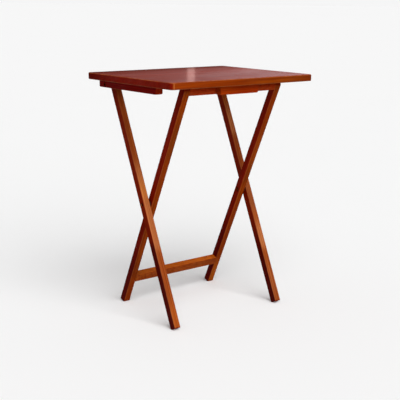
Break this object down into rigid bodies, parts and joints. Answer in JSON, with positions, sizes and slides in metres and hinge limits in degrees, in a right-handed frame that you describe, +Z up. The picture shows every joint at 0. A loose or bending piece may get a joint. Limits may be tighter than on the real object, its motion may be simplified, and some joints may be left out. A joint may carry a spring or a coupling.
{
  "type": "folding tray table",
  "caption": "Folding wooden tray table: a flat rectangular top hinged to two crossed pairs of legs that close like scissors, with a stretcher and a catch block.",
  "frame": {"origin": "on the floor, under the centre of the top", "axes": "+Z up, +X along the width of the top, -Y towards the front, the side with the catch block"},
  "size_m": [0.483, 0.385, 0.66],
  "materials": {
    "top_wood": "satin lacquer over reddish cherry stain, edge-glued staves",
    "leg_wood": "satin lacquer over reddish cherry stain",
    "batten_wood": "satin lacquer over reddish cherry stain",
    "dowel_wood": "raw beech, fluted",
    "bolt_steel": "bronzed, dark brown",
    "screw_steel": "yellow zinc plated",
    "spacer_nylon": "moulded nylon, dark brown"
  },
  "bodies": {
    "outer_legs": {"outer_leg_left": "leg_wood", "outer_leg_right": "leg_wood", "crossing_bolts": "bolt_steel", "crossing_spacers": "spacer_nylon", "crossing_washers": "bolt_steel", "crossing_nuts": "bolt_steel"},
    "inner_frame": {"inner_leg_left": "leg_wood", "inner_leg_right": "leg_wood", "top_rail": "leg_wood", "lower_stretcher": "leg_wood", "top_rail_dowels": "dowel_wood", "stretcher_dowels": "dowel_wood"},
    "hangers": {"hanger_bolts": "bolt_steel", "hanger_spacers": "spacer_nylon", "hanger_washers": "bolt_steel", "hanger_nuts": "bolt_steel"},
    "top": {"tabletop": "top_wood", "cleat_left": "batten_wood", "cleat_right": "batten_wood", "catch_block": "batten_wood", "cleat_screws": "screw_steel", "catch_block_screws": "screw_steel"}
  },
  "joints": [
    {"name": "leg_swing", "type": "hinge", "parent": "hangers", "child": "outer_legs", "pos_m": [0, 0.1445, 0.62925], "axis": [1, 0, 0], "range_deg": [0, 24]},
    {"name": "leg_fold", "type": "hinge", "parent": "outer_legs", "child": "inner_frame", "pos_m": [0, 0.00503, 0.316], "axis": [-1, 0, 0], "range_deg": [0, 48]},
    {"name": "top_lift", "type": "hinge", "parent": "hangers", "child": "top", "pos_m": [0, 0.1445, 0.62925], "axis": [-1, 0, 0], "range_deg": [0, 90]}
  ],
  "couplings": [
    {"joint": "leg_fold", "follows": "leg_swing", "ratio": 2}
  ]
}
